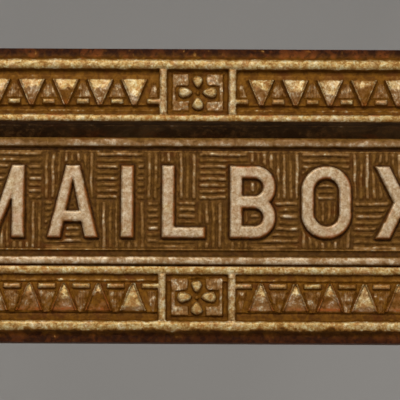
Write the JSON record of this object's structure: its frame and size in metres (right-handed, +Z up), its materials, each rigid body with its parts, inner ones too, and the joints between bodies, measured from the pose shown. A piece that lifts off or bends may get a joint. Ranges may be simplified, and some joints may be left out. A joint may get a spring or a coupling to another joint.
{
  "type": "letter slot plate",
  "caption": "Oblong cast letter plate with a bevelled, ridged frame of triangle ornament and a top-hinged, sprung flap over the slot, fixed by screws at the ends.",
  "frame": {"origin": "centre of the plate's back rim, in the plane that lies on the door", "axes": "+X to the right seen from outside, along the plate's length; +Z up; +Y into the door, so the ornamental front faces -Y"},
  "size_m": [0.182, 0.0258, 0.07],
  "materials": {
    "plate_casting": "aged cast bronze, dark in the recesses and rubbed bright on the ridges",
    "flap_casting": "aged cast bronze, dark in the recesses and rubbed bright on the ridges",
    "steel": "dull, darkened",
    "washer_brass": "tarnished",
    "spring_steel": "dark drawn wire",
    "screw_brass": "tarnished"
  },
  "bodies": {
    "plate_assembly": {"front_plate": "plate_casting", "hinge_pin": "steel", "hinge_washer_left": "washer_brass", "hinge_washer_right": "washer_brass", "pin_keeper_left": "steel", "pin_keeper_right": "steel", "keeper_screw_left": "steel", "keeper_screw_right": "steel", "return_spring_left": "spring_steel", "return_spring_right": "spring_steel", "mounting_screw_left": "screw_brass", "mounting_screw_right": "screw_brass"},
    "flap_assembly": {"flap": "flap_casting"}
  },
  "joints": [
    {"name": "flap_hinge", "type": "hinge", "parent": "plate_assembly", "child": "flap_assembly", "pos_m": [0, -0.0015, 0.011], "axis": [-1, 0, 0], "range_deg": [0, 90], "stiffness_Nm_per_rad": 0.015, "springref_deg": -34.38, "deforming": ["return_spring_left", "return_spring_right"]}
  ]
}
